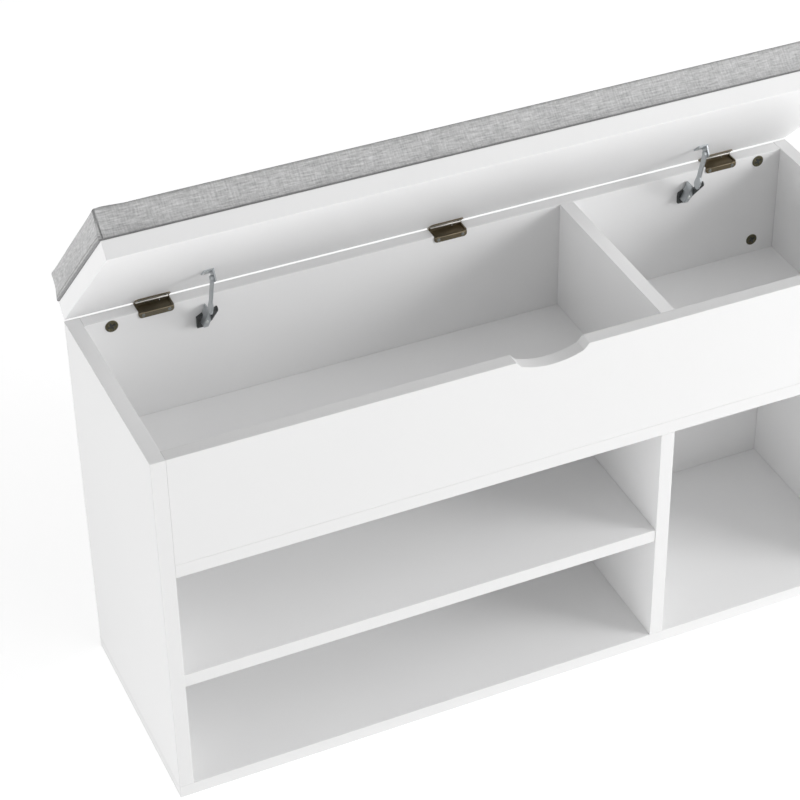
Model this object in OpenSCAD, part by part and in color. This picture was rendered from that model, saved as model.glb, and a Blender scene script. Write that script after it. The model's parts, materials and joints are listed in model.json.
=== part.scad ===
// Shoe storage bench with a padded flip-up lid over a divided chest,
// a two-level shoe bay on the left and one tall bay on the right.
// X runs along the bench, Y from its front to its back and Z up from the floor.
// The origin is the middle of the footprint at floor level, and the lid is drawn open.

/* [Body] */
// Overall length of the body
body_w = 800; // [700:10:1100]
// Overall depth of the body
body_d = 245; // [235:5:340]
// Height of the body without the lid
body_h = 417; // [400:1:520]
// Thickness of every board of the body
board_t = 15; // [15:1:18]
// Distance from the rear edge of the sides to the back panel
back_inset = 0.5; // [0:0.5:6]

/* [Inside] */
// Height of the chest floor's upper face
chest_floor_z = 294; // [260:1:330]
// Middle of the partition and the chest divider, from the bench's middle
partition_x = 131; // [40:1:180]
// Height of the shelf's upper face
shelf_z = 157; // [100:1:200]
// Setback of the shelf's front edge
shelf_setback = 1; // [0:0.5:10]

/* [Finger notch] */
// Length of the notch along the fascia's upper edge
notch_w = 77; // [60:1:120]
// Depth of the notch at its middle
notch_depth = 12.6; // [8:0.1:20]

/* [Lid and cushion] */
// Depth of the lid board from its hinged edge
lid_d = 242; // [230:1:330]
// Thickness of the lid board
lid_t = 18; // [15:1:22]
// Gap between the body and the closed lid
lid_gap = 1.5; // [1.5:0.1:3]
// Height of the cushion at its edges
cushion_t = 32; // [20:1:50]
// Extra height in the middle of the cushion
crown = 3; // [1:0.5:8]
// How far the cushion's sides are drawn in at half height
drawn_in = 1.4; // [0:0.1:3]

/* [Fittings] */
// Middle of the outer hinges, from the end of the body
hinge_end = 87.5; // [60:0.5:110]
// Middle of the lid stays, from the end of the body
stay_end = 132.5; // [130:0.5:220]
// Diameter of a cam fitting
cam_d = 13; // [12:0.5:15]
// Diameter of a wooden dowel
dowel_d = 8; // [6:1:8]

/* [Hidden] */
$fn = 48;

// The lid stands open at this angle, held by its stays
lid_open = 45;

front = -body_d / 2;
rear = body_d / 2;
inner_x = body_w / 2 - board_t;
side_mid = body_w / 2 - board_t / 2;
back_out = rear - back_inset;
back_in = back_out - board_t;
back_mid = back_out - board_t / 2;
chest_h = body_h - chest_floor_z;

// The hinge line is the lower rear edge of the lid board
hinge_setback = 0.7;
axis_y = rear - hinge_setback;
axis_z = body_h + lid_gap;

hinge_x = [-body_w / 2 + hinge_end, 0, body_w / 2 - hinge_end];
hinge_w = 36;
leaf_t = 1.2;
pocket_depth = 3;
knuckle_r = 2.5;
knuckle_half = 8;
hinge_pin_r = 1.2;
flange_h = 7.5;
flange_corner = 3.5;
lid_leaf_reach = 12.5;
leaf_screw_x = 13.3;
run_fit = 0.05;
leaf_start = 3.2;
stop_start = 1.3;
knuckle_gap = 0.2;

screw_head_r = 1.7;
screw_head_h = 0.6;
screw_r = 1.25;
screw_l = 9;

stay_x = [-body_w / 2 + stay_end, body_w / 2 - stay_end];
lever_pivot = [rear - 23, body_h - 22];
lever_tip = [rear - 44.5, body_h + 2];
lid_pivot_shut = [-71, -8];
pivot_r = 1.75;
rivet_r = 1.8;
lever_x = 5.6;
lever_t = 1.5;
foot_t = 12;
foot_plate_t = 2;
foot_low = body_h - 29;
cover_t = 1.2;
cover_top = body_h - 0.6;

cam_x = inner_x - 27;
cam_z = [chest_floor_z + 16, body_h - 8.5];
cam_depth = 11;
bolt_r = 2.5;
bolt_in_side = 8;
bolt_in_cam = 3.5;
bolt_depth = 6;
cam_proud = 0.3;
bronze = [0.27, 0.22, 0.14];
pad_corner_r = 5;
dowel_in_face = 9;
dowel_in_edge = 20;

// A vector turned by an angle
function turn(v, a) = [v.x * cos(a) - v.y * sin(a), v.x * sin(a) + v.y * cos(a)];
lid_pivot = [axis_y, axis_z] + turn(lid_pivot_shut, -lid_open);

// Dowels: where the two boards meet, and the way into the board whose edge is drilled
dowel_sites = concat(
    [for (x = [-side_mid, partition_x, side_mid], y = [-75, 70]) [[x, y, board_t], [0, 0, 1]]],
    [for (x = [-250, 0, 250]) [[x, back_mid, board_t], [0, 0, 1]]],
    [for (s = [-1, 1], y = [-80, 50]) [[s * inner_x, y, chest_floor_z - board_t / 2], [-s, 0, 0]]],
    [for (s = [-1, 1], z = [20, chest_h - 25])
        [[s * inner_x, front + board_t / 2, chest_floor_z + z], [-s, 0, 0]]],
    [for (x = [-260, -60, 250]) [[x, front + board_t / 2, chest_floor_z], [0, 0, 1]]],
    [for (x = [-200, 20, 260]) [[x, back_in, chest_floor_z - board_t / 2], [0, -1, 0]]],
    [for (y = [-75, 40]) [[partition_x, y, chest_floor_z - board_t], [0, 0, -1]]],
    [for (y = [-50, 65]) [[partition_x, y, chest_floor_z], [0, 0, 1]]],
    [[[partition_x, front + board_t, chest_floor_z + chest_h / 2], [0, 1, 0]],
     [[partition_x, back_in, chest_floor_z + chest_h / 2], [0, -1, 0]]],
    [for (y = [-70, 55]) [[-inner_x, y, shelf_z - board_t / 2], [1, 0, 0]]],
    [for (y = [-70, 55]) [[partition_x - board_t / 2, y, shelf_z - board_t / 2], [-1, 0, 0]]]);

// A box between two corners
module span(low, high) {
    translate(low) cube(high - low);
}

// Children drawn along +Z point along one axis instead
module aim(dir) {
    if (dir.x != 0) rotate([0, 90 * dir.x, 0]) children();
    else if (dir.y != 0) rotate([-90 * dir.y, 0, 0]) children();
    else rotate([dir.z > 0 ? 0 : 180, 0, 0]) children();
}

// A flat plate in the YZ plane, from x0 and t thick
module plate_x(x0, t) {
    translate([x0, 0, 0]) rotate([90, 0, 90]) linear_extrude(t) children();
}

// A rod or a bore along X
module rod_x(x0, x1, at, r) {
    translate([x0, at.x, at.y]) rotate([0, 90, 0]) cylinder(h = x1 - x0, r = r);
}

// Outline of a flat link: two round ends joined by straight sides just inside their tangents
module link(p, rp, q, rq) {
    way = (q - p) / norm(q - p);
    lean = acos((rp - rq) / norm(q - p));
    n1 = turn(way, lean);
    n2 = turn(way, -lean);
    translate(p) circle(rp);
    translate(q) circle(rq);
    polygon([p + (rp - 0.04) * n1, q + (rq - 0.04) * n1, q + (rq - 0.04) * n2, p + (rp - 0.04) * n2]);
}

// Everything on the lid is drawn shut and swung open about the hinge line
module on_lid() {
    translate([0, axis_y, axis_z]) rotate([-lid_open, 0, 0]) children();
}

// Wooden dowels, each partly in the face of one board and partly in the edge of the other
module dowels() {
    color("burlywood") for (site = dowel_sites)
        translate(site[0]) aim(site[1]) translate([0, 0, -dowel_in_face])
            cylinder(h = dowel_in_face + dowel_in_edge, d = dowel_d);
}

// Screws from below into the sides and the partition, with sunk heads
module base_screws() {
    color("silver") for (x = [-side_mid, partition_x, side_mid], y = [-95, 35])
        translate([x, y, 0]) {
            cylinder(h = 4, r1 = 5, r2 = 3);
            cylinder(h = 50, r = 2.5);
        }
}

// Round cam fittings in the back panel, each with a cross recess
module cam_fittings() {
    color("dimgray") for (s = [-1, 1], z = cam_z)
        translate([s * cam_x, back_in, z]) rotate([-90, 0, 0]) difference() {
            translate([0, 0, -cam_proud]) cylinder(h = cam_depth + cam_proud, d = cam_d);
            for (a = [45, 135]) rotate([0, 0, a]) translate([-3, -0.6, -1]) cube([6, 1.2, 3]);
            translate([0, 0, bolt_depth]) rotate([0, 90 * s, 0])
                translate([0, 0, cam_d / 2 - bolt_in_cam]) cylinder(h = cam_d, r = bolt_r);
        }
}

// The hole that a cam fitting sits in
module cam_holes() {
    for (s = [-1, 1], z = cam_z)
        translate([s * cam_x, back_in, z]) rotate([-90, 0, 0])
            translate([0, 0, -1]) cylinder(h = cam_depth + 1, d = cam_d);
}

// Bolts screwed into the sides, whose ends reach into the cams
module cam_bolts() {
    color("silver") for (s = [-1, 1], z = cam_z)
        translate([s * (inner_x + bolt_in_side), back_in + bolt_depth, z]) rotate([0, -90 * s, 0])
            cylinder(h = inner_x + bolt_in_side - cam_x - cam_d / 2 + bolt_in_cam, r = bolt_r);
}

// A white board with its dowel, bolt and screw holes
module board(low, high) {
    color("white") difference() {
        span(low, high);
        dowels();
        cam_bolts();
    }
}

module bottom_board() {
    color("white") difference() {
        span([-body_w / 2, front, 0], [body_w / 2, rear, board_t]);
        dowels();
        base_screws();
    }
}

module left_side() {
    color("white") difference() {
        board([-body_w / 2, front, board_t], [-inner_x, rear, body_h]);
        base_screws();
    }
}

module right_side() {
    color("white") difference() {
        board([inner_x, front, board_t], [body_w / 2, rear, body_h]);
        base_screws();
    }
}

// The back panel has a pocket for each hinge tray in its upper edge
module back_panel() {
    color("white") difference() {
        board([-inner_x, back_in, board_t], [inner_x, back_out, body_h]);
        cam_holes();
        for (x = hinge_x)
            span([x - hinge_w / 2, back_in - 1, body_h - pocket_depth],
                 [x + hinge_w / 2, back_out + 1, body_h + 1]);
        hinge_screws();
        stay_screws();
    }
}

module chest_floor() {
    board([-inner_x, front, chest_floor_z - board_t], [inner_x, back_in, chest_floor_z]);
}

module partition() {
    color("white") difference() {
        board([partition_x - board_t / 2, front, board_t],
              [partition_x + board_t / 2, back_in, chest_floor_z - board_t]);
        base_screws();
    }
}

module shelf() {
    board([-inner_x, front + shelf_setback, shelf_z - board_t],
          [partition_x - board_t / 2, back_in, shelf_z]);
}

// The fascia with the shallow finger notch: a wide arc between two sloping shoulders
module fascia() {
    shoulder = 5.5;
    foot_z = 6.2;
    half = notch_w / 2;
    sag = notch_depth - foot_z;
    arc_r = (pow(half - shoulder, 2) + sag * sag) / (2 * sag);
    color("white") difference() {
        board([-inner_x, front, chest_floor_z], [inner_x, front + board_t, body_h]);
        translate([0, front + board_t + 1, body_h]) rotate([90, 0, 0]) linear_extrude(board_t + 2)
            intersection() {
                translate([0, arc_r - notch_depth]) circle(arc_r, $fn = 96);
                polygon([[-half - 1, 1.1], [half + 1, 1.1], [half - shoulder, -foot_z],
                    [half - shoulder, -2 * notch_depth], [shoulder - half, -2 * notch_depth],
                    [shoulder - half, -foot_z]]);
            }
    }
}

module chest_divider() {
    board([partition_x - board_t / 2, front + board_t, chest_floor_z],
          [partition_x + board_t / 2, back_in, body_h]);
}

// The lid board, relieved along its hinged edge for each knuckle
module lid_board() {
    color("white") difference() {
        on_lid() difference() {
            span([-body_w / 2, -lid_d, 0], [body_w / 2, 0, lid_t]);
            for (x = hinge_x)
                rod_x(x - hinge_w / 2 - 0.5, x + hinge_w / 2 + 0.5, [0, 0], knuckle_r + 0.5);
        }
        lid_leaf_screws();
        bracket_screws();
    }
}

// Outline of the cushion at one height: rounded corners and straight sides
function corner(cx, cy, r, start, z) =
    [for (i = [0:6]) [cx + r * cos(start + 15 * i), cy + r * sin(start + 15 * i), z]];
function outline(inset, z) =
    let (a = body_w / 2 - inset, b = lid_d / 2 - inset, r = max(1.5, min(pad_corner_r, b - 1)))
    concat(corner(a - r, b - r, r, 0, z), corner(r - a, b - r, r, 90, z),
        corner(r - a, r - b, r, 180, z), corner(a - r, r - b, r, 270, z));

// A fabric-covered pad: sides drawn in at half height, a rounded upper edge and a crown
module cushion() {
    edge_r = 7;
    side_h = cushion_t - edge_r;
    deepest = lid_d / 2 - 4;
    sides = [for (i = [0:6]) let (t = i / 6) [0.6 + drawn_in * sin(180 * t), side_h * t]];
    edge = [for (i = [1:5]) let (a = 18 * i) [0.6 + edge_r * (1 - cos(a)), side_h + edge_r * sin(a)]];
    top = [for (i = [1:7]) let (t = i / 7, inset = edge_r + 0.6 + (deepest - edge_r) * t)
        [inset, cushion_t + crown * (1 - pow(1 - t, 2.2))]];
    rings = concat(sides, edge, top);
    n = 28;
    last = len(rings) - 1;
    points = [for (s = rings) each outline(s[0], s[1])];
    walls = [for (k = [0:last - 1], i = [0:n - 1]) let (j = (i + 1) % n)
        each [[k * n + i, (k + 1) * n + i, (k + 1) * n + j], [k * n + i, (k + 1) * n + j, k * n + j]]];
    color("lightgray") on_lid() translate([0, -lid_d / 2, lid_t])
        polyhedron(points, concat(walls, [[for (i = [0:n - 1]) i]],
            [[for (i = [n - 1:-1:0]) last * n + i]]), convexity = 4);
}

// Outline of a hinge flange in the plane of its board: two rounded free corners
module flange(reach) {
    half = hinge_w / 2;
    translate([-half, 0]) square([hinge_w, reach - flange_corner]);
    translate([flange_corner - half, 0]) square([hinge_w - 2 * flange_corner, reach]);
    for (s = [-1, 1]) translate([s * (half - flange_corner), reach - flange_corner])
        circle(flange_corner);
}

// Fixed half of a hinge: a tray let into the panel's edge, with a flange down its inner face
module hinge_tray(x) {
    half = hinge_w / 2;
    floor_z = body_h - pocket_depth;
    side_l = half - knuckle_half - knuckle_gap;
    color(bronze) difference() {
        union() {
            translate([x, back_in, floor_z + leaf_t]) rotate([-90, 0, 180])
                linear_extrude(leaf_t) flange(flange_h - pocket_depth + leaf_t);
            span([x - half, back_in - leaf_t, floor_z], [x + half, axis_y - stop_start, floor_z + leaf_t]);
            for (s = [0, 1]) span([x - half + s * (hinge_w - leaf_t), back_in, floor_z],
                [x - half + leaf_t + s * (hinge_w - leaf_t), axis_y - leaf_start, body_h]);
            for (x0 = [x - half, x + knuckle_half + knuckle_gap]) {
                rod_x(x0, x0 + side_l, [axis_y, axis_z], knuckle_r);
                span([x0, axis_y - knuckle_r, floor_z], [x0 + side_l, axis_y - stop_start, axis_z]);
            }
        }
        span([x - half + side_l, axis_y - leaf_start, floor_z + leaf_t],
             [x + half - side_l, axis_y + 3, axis_z + 3]);
        rod_x(x - half - 1, x + half + 1, [axis_y, axis_z], hinge_pin_r);
        hinge_screws();
    }
}

// Moving half of a hinge: a leaf under the lid board with one knuckle in the middle
module hinge_leaf(x) {
    color(bronze) difference() {
        on_lid() difference() {
            union() {
                translate([x, -leaf_start, -leaf_t]) mirror([0, 1, 0])
                    linear_extrude(leaf_t) flange(lid_leaf_reach - leaf_start);
                span([x - knuckle_half, -leaf_start, -leaf_t], [x + knuckle_half, 0, 0]);
                rod_x(x - knuckle_half, x + knuckle_half, [0, 0], knuckle_r);
            }
            rod_x(x - hinge_w, x + hinge_w, [0, 0], hinge_pin_r + run_fit);
        }
        lid_leaf_screws();
    }
}

module hinge_pin(x) {
    color("dimgray") rod_x(x - hinge_w / 2, x + hinge_w / 2, [axis_y, axis_z], hinge_pin_r);
}

// A small pan-head screw whose head stands on z = 0 and whose shank goes down
module screw(length = screw_l) {
    color("silver") {
        cylinder(h = screw_head_h, r = screw_head_r);
        translate([0, 0, -length]) cylinder(h = length, r = screw_r);
    }
}

module hinge_screws() {
    for (x = hinge_x, s = [-1, 1])
        translate([x + s * leaf_screw_x, back_in - leaf_t, body_h - 4.5]) rotate([90, 0, 0]) screw();
}

module lid_leaf_screws() {
    for (x = hinge_x, s = [-1, 1])
        on_lid() translate([x + s * leaf_screw_x, -8, -leaf_t]) rotate([180, 0, 0]) screw();
}

// Front outline of a stay's cover, grown by a margin: a narrow top and a pointed foot
module cover_outline(grow = 0) {
    low = foot_low + 2.5;
    polygon([[-1.6, cover_top], [-8.3 - grow, low + 14], [-7.3 - grow, low + 6.5],
        [-3, low - grow], [0, low - grow], [4.9, low + 4], [4.9, low + 11.5], [2.4, cover_top]]);
}

// Black moulded foot of a stay: a base plate, a block behind the cover and the lever's pin hole
module stay_foot(x) {
    color("black") difference() {
        union() {
            translate([x, back_in, 0]) rotate([90, 0, 0]) linear_extrude(foot_plate_t)
                polygon([[-9.3, foot_low + 5], [-5, foot_low], [8, foot_low], [12, foot_low + 4],
                    [12, foot_low + 12], [4.9, foot_low + 15], [-9.3, foot_low + 15]]);
            translate([x, back_in, 0]) rotate([90, 0, 0]) linear_extrude(foot_t) intersection() {
                cover_outline(1);
                translate([-20, 0]) square([24.2, foot_low + 22]);
            }
        }
        rod_x(x + 0.5, x + 6, lever_pivot, pivot_r);
        stay_screws();
    }
}

// Steel cover of a stay's foot: a front plate with one side folded back
module stay_cover(x) {
    front_y = back_in - foot_t;
    color("silver") difference() {
        union() {
            translate([x, front_y, 0]) rotate([90, 0, 0]) linear_extrude(cover_t) cover_outline();
            plate_x(x + 4.25, 0.65) polygon([[front_y - 0.5, foot_low + 6.5],
                [front_y + 6, foot_low + 9], [front_y + 6, foot_low + 12], [front_y - 0.5, foot_low + 14]]);
        }
        stay_screws();
        rod_x(x, x + 6, lever_pivot, pivot_r);
    }
}

// Steel lever of a stay beside its foot, with a stub at the tip that meets the arm
module stay_lever(x) {
    color("silver") difference() {
        union() {
            plate_x(x + lever_x, lever_t) link(lever_pivot, 4.2, lever_tip, 4);
            rod_x(x + 1.3, x + lever_x + lever_t + 0.7, lever_tip, 2.4);
        }
        rod_x(x, x + lever_x + 4, lever_pivot, pivot_r + run_fit);
    }
}

// Headed pin on which the lever turns beside the foot
module stay_pivot(x) {
    color("gray") {
        rod_x(x + 0.5, x + lever_x + lever_t + 0.3, lever_pivot, pivot_r);
        rod_x(x + lever_x + lever_t + 0.2, x + lever_x + lever_t + 1.1, lever_pivot, 2.8);
    }
}

// Points on a circle between two angles
function arc(p, r, start, end) =
    [for (i = [0:8]) p + r * [cos(start + (end - start) * i / 8), sin(start + (end - start) * i / 8)]];

// Flat arm with a broad lower end at the lever's tip, reaching up to the lid bracket
module stay_arm(x) {
    way = lid_pivot - lever_tip;
    up = atan2(way.y, way.x);
    neck = lever_tip + way * 0.22;
    color("silver") difference() {
        plate_x(x - 1, 2)
            polygon(concat(arc(lid_pivot, 3.5, up - 90, up + 90), [neck + turn([0, 4], up)],
                [lever_tip + turn([8, 7], up)], arc(lever_tip, 5, up + 110, up + 270),
                [neck + turn([0, -4], up)]));
        rod_x(x - 4, x + 4, lid_pivot, rivet_r + run_fit);
    }
}

// Rivet that joins the arm to the ear of the lid bracket
module stay_rivet(x) {
    color("gray") {
        rod_x(x - 1.1, x + 2.8, lid_pivot, rivet_r);
        rod_x(x - 2, x - 1.1, lid_pivot, 3);
    }
}

// Lid bracket of a stay: a flange under the lid board and an upright ear for the rivet
module stay_bracket(x) {
    foot = lid_pivot_shut.x;
    color("silver") difference() {
        on_lid() difference() {
            union() {
                span([x - 7.5, foot - 7, -1.5], [x + 2.8, foot + 7, 0]);
                plate_x(x + 1.3, 1.5) {
                    polygon([[foot - 7, 0], [foot + 7, 0], [foot + 4.2, -8], [foot - 4.2, -8]]);
                    translate([foot, lid_pivot_shut.y]) circle(4.2);
                }
            }
            rod_x(x - 1, x + 3, lid_pivot_shut, rivet_r);
        }
        bracket_screws();
    }
}

// Two screws hold each foot: a long one through its cover and a short one through its plate
module stay_screws() {
    for (x = stay_x) {
        translate([x - 1.8, back_in - foot_t - cover_t, foot_low + 6.5])
            rotate([90, 0, 0]) screw(screw_l + foot_t);
        translate([x + 8.6, back_in - foot_plate_t, foot_low + 3.5]) rotate([90, 0, 0]) screw();
    }
}

// Two screws through the flange of each lid bracket
module bracket_screws() {
    for (x = stay_x, s = [-1, 1])
        on_lid() translate([x - 4.5, lid_pivot_shut.x + s * 4, -1.5]) rotate([180, 0, 0]) screw();
}

bottom_board();
left_side();
right_side();
back_panel();
chest_floor();
partition();
shelf();
fascia();
chest_divider();
dowels();
cam_fittings();
cam_bolts();
base_screws();
lid_board();
cushion();
hinge_tray(hinge_x[0]);  // hinge_1_tray
hinge_tray(hinge_x[1]);  // hinge_2_tray
hinge_tray(hinge_x[2]);  // hinge_3_tray
hinge_leaf(hinge_x[0]);  // hinge_1_leaf
hinge_leaf(hinge_x[1]);  // hinge_2_leaf
hinge_leaf(hinge_x[2]);  // hinge_3_leaf
hinge_pin(hinge_x[0]);  // hinge_1_pin
hinge_pin(hinge_x[1]);  // hinge_2_pin
hinge_pin(hinge_x[2]);  // hinge_3_pin
hinge_screws();
lid_leaf_screws();
stay_foot(stay_x[0]);  // stay_left_foot
stay_cover(stay_x[0]);  // stay_left_cover
stay_lever(stay_x[0]);  // stay_left_lever
stay_pivot(stay_x[0]);  // stay_left_pivot
stay_arm(stay_x[0]);  // stay_left_arm
stay_rivet(stay_x[0]);  // stay_left_rivet
stay_bracket(stay_x[0]);  // stay_left_bracket
stay_foot(stay_x[1]);  // stay_right_foot
stay_cover(stay_x[1]);  // stay_right_cover
stay_lever(stay_x[1]);  // stay_right_lever
stay_pivot(stay_x[1]);  // stay_right_pivot
stay_arm(stay_x[1]);  // stay_right_arm
stay_rivet(stay_x[1]);  // stay_right_rivet
stay_bracket(stay_x[1]);  // stay_right_bracket
stay_screws();
bracket_screws();
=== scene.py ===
# %% [markdown]
# # A shoe bench with a padded lid
#
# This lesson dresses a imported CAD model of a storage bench. The hinges, stays, cams and screws
# are already solid and exact, so they only get finishes. The boards get eased edges and the
# cushion is sewn, stuffed and covered here, because those are the things CAD leaves plain.

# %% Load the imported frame
import json
import math

import bmesh
import bpy
import numpy as np
from mathutils import Matrix, Vector


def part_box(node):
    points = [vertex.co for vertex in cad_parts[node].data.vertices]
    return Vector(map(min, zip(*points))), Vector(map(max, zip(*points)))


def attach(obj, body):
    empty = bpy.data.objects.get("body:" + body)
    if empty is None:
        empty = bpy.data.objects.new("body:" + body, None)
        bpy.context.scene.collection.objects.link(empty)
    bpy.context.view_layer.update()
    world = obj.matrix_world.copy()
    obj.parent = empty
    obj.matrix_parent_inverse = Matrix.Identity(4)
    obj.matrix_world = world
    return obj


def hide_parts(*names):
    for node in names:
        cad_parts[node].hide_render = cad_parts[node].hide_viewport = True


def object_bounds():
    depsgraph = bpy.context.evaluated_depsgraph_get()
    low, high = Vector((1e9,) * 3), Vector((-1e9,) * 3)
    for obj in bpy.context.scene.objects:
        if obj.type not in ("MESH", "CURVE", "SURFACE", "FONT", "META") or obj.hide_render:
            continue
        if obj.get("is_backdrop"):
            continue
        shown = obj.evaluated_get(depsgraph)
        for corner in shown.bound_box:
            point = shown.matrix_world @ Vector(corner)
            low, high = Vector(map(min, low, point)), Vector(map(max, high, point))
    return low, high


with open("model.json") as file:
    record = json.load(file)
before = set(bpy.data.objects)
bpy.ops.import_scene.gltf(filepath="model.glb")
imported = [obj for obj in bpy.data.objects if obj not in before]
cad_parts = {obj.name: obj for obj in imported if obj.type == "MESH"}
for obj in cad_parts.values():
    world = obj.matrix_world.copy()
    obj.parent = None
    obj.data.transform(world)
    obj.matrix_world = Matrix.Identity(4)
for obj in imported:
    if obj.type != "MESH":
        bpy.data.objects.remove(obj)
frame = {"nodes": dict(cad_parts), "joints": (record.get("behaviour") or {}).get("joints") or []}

scene = bpy.context.scene
nodes = frame["nodes"]
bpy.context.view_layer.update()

# %% [markdown]
# ## The camera
#
# The picture was taken from the left, well above the bench, with a long lens. Such a lens keeps
# the boards' edges nearly parallel. The place and the lens were worked out from those edges, and
# the shift only puts the bench where the picture has it.

# %% Camera
def look_along(yaw, pitch, roll):
    """Camera axes from three angles: yaw turns from +Y towards +X, pitch looks down,
    roll leans the picture. Returns the 3x3 matrix whose columns are right, up and back."""
    ahead = np.array([math.sin(yaw) * math.cos(pitch), math.cos(yaw) * math.cos(pitch),
                      -math.sin(pitch)])
    right = np.array([math.cos(yaw), -math.sin(yaw), 0.0])
    up = np.cross(right, ahead)
    c, s = math.cos(roll), math.sin(roll)
    return np.stack([c * right + s * up, c * up - s * right, -ahead], axis=1)


# The picture's width, the focal length and the point that the lens looks at, all in pixels
PICTURE_PX, FOCAL_PX, AXIS_PX = 800, 2515.85, (467.4, 393.7)
SENSOR_MM = 36.0
CAMERA_AT = (-0.8934, -1.8244, 1.7949)
CAMERA_YAW, CAMERA_PITCH, CAMERA_ROLL = 0.4415, math.radians(36.589), 0.002

camera = bpy.data.cameras.new("camera")
camera.sensor_width = SENSOR_MM
camera.lens = SENSOR_MM * FOCAL_PX / PICTURE_PX
camera.shift_x = (PICTURE_PX / 2 - AXIS_PX[0]) / PICTURE_PX
camera.shift_y = (AXIS_PX[1] - PICTURE_PX / 2) / PICTURE_PX
camera.clip_start, camera.clip_end = 0.05, 50.0
eye = bpy.data.objects.new("camera", camera)
scene.collection.objects.link(eye)
turned_and_placed = np.eye(4)
turned_and_placed[:3, :3] = look_along(CAMERA_YAW, CAMERA_PITCH, CAMERA_ROLL)
turned_and_placed[:3, 3] = CAMERA_AT
eye.matrix_world = Matrix(turned_and_placed.tolist())
scene.camera = eye
print("lens", round(camera.lens, 1), "mm")

# %% [markdown]
# ## Light
#
# A white piece shows its shape only through soft shade. The main soft box stands low at the
# front right, so that it reaches into the bays and lays the stays' shadows to the left. Weaker
# ones above and in front lift the upper faces, a low one on the left lights the outer side, and a
# faint pale sky fills the rest. The strengths were found by rendering one light at a time.

# %% Lights
AIM = (0, 0, 0.25)
SKY_STRENGTH, VIEW_GAMMA = 0.33, 1.2
# Each soft box has a name, a place in metres, a width in metres and a power in watts
SOFT_BOXES = (("main_box", (2.7, -2.0, 1.08), 1.6, 80), ("side_box", (3.0, -0.9, 1.5), 1.4, 12),
              ("high_box", (2.3, -1.8, 2.4), 1.4, 8), ("left_box", (-3.0, -0.4, 0.6), 1.2, 26),
              ("top_box", (0.5, -1.4, 3.0), 1.8, 6))


def soft_box(name, place, size, watts):
    """An area light at one point, turned so that its -Z axis points at AIM."""
    data = bpy.data.lights.new(name, "AREA")
    data.shape, data.size, data.energy = "DISK", size, watts
    lamp = bpy.data.objects.new(name, data)
    scene.collection.objects.link(lamp)
    lamp.location = place
    lamp.rotation_euler = (Vector(AIM) - Vector(place)).to_track_quat("-Z", "Y").to_euler()


for box in SOFT_BOXES:
    soft_box(*box)
sky = bpy.data.worlds.new("sky")
scene.world = sky
sky.use_nodes = True
sky.node_tree.nodes["Background"].inputs["Color"].default_value = (1, 1, 1, 1)
sky.node_tree.nodes["Background"].inputs["Strength"].default_value = SKY_STRENGTH
scene.view_settings.view_transform = "Standard"
scene.view_settings.gamma = VIEW_GAMMA
print("soft boxes:", len(SOFT_BOXES))

# %% [markdown]
# ## A small node-tree helper
#
# Every material below is a short list of nodes and links. Writing them by hand in Blender's
# Python repeats the same three lines, so one helper adds a node, fills its sockets and links it.

# %% Node helper
def fill(tree, socket, value):
    """Links a value that is itself a socket, and sets any other as a constant."""
    if isinstance(value, bpy.types.NodeSocket):
        tree.links.new(value, socket)
    else:
        socket.default_value = value


def node(tree, kind, props=None, **sockets):
    """Adds a node, sets its properties and fills its sockets. A key such as in_0 names an input
    by number where names repeat."""
    made = tree.nodes.new("ShaderNode" + kind)
    for key, value in (props or {}).items():
        setattr(made, key, value)
    for key, value in sockets.items():
        label = int(key[3:]) if key.startswith("in_") else key.replace("_", " ")
        fill(tree, made.inputs[label], value)
    return made


def number(tree, operation, *values):
    """One Math node, whose inputs are given in order."""
    return node(tree, "Math", {"operation": operation},
                **{f"in_{i}": v for i, v in enumerate(values)}).outputs[0]


def ramp(tree, value, low, high, out_low=0.0, out_high=1.0):
    """Straight-line map of a value from low..high to out_low..out_high, held at both ends."""
    return node(tree, "MapRange", None, in_0=value, in_1=low, in_2=high, in_3=out_low,
                in_4=out_high).outputs[0]


def blend_colour(tree, share, first, second, way="MIX"):
    """Mixes two colours by a share from 0 to 1."""
    made = tree.nodes.new("ShaderNodeMix")
    made.data_type, made.blend_type = "RGBA", way
    for index, value in ((0, share), (6, first), (7, second)):
        fill(tree, made.inputs[index], value)
    return made.outputs[2]

# %% Groups and materials
def new_group(name, inputs, outputs):
    """A shader node group with named sockets. inputs and outputs map a name to a socket type."""
    group = bpy.data.node_groups.new(name, "ShaderNodeTree")
    for sockets, way in ((inputs, "INPUT"), (outputs, "OUTPUT")):
        for label, kind in sockets.items():
            group.interface.new_socket(label, in_out=way, socket_type="NodeSocket" + kind)
    return group, group.nodes.new("NodeGroupInput").outputs, group.nodes.new("NodeGroupOutput")


def use_group(tree, group, **sockets):
    """Places a group in a material and fills its inputs."""
    made = tree.nodes.new("ShaderNodeGroup")
    made.node_tree = group
    for key, value in sockets.items():
        fill(tree, made.inputs[key.replace("_", " ")], value)
    return made.outputs


def new_material(name, **constants):
    """A material with one Principled shader. Constants are set on its own sockets. Returns the
    material, its tree, the shader and the Object coordinates."""
    material = bpy.data.materials.new(name)
    material.use_nodes = True
    shader = material.node_tree.nodes["Principled BSDF"]
    for key, value in constants.items():
        shader.inputs[key.replace("_", " ")].default_value = value
    place = material.node_tree.nodes.new("ShaderNodeTexCoord").outputs["Object"]
    return material, material.node_tree, shader, place

# %% [markdown]
# ## Shared effects
#
# Two effects return in several finishes. One is a pebbled skin, a shallow noise that every cast,
# moulded or laminated surface has. The other is drawn grain, a noise stretched along one
# direction, which makes brushed steel and the fibres of wood. Each is a group, built once.

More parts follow.
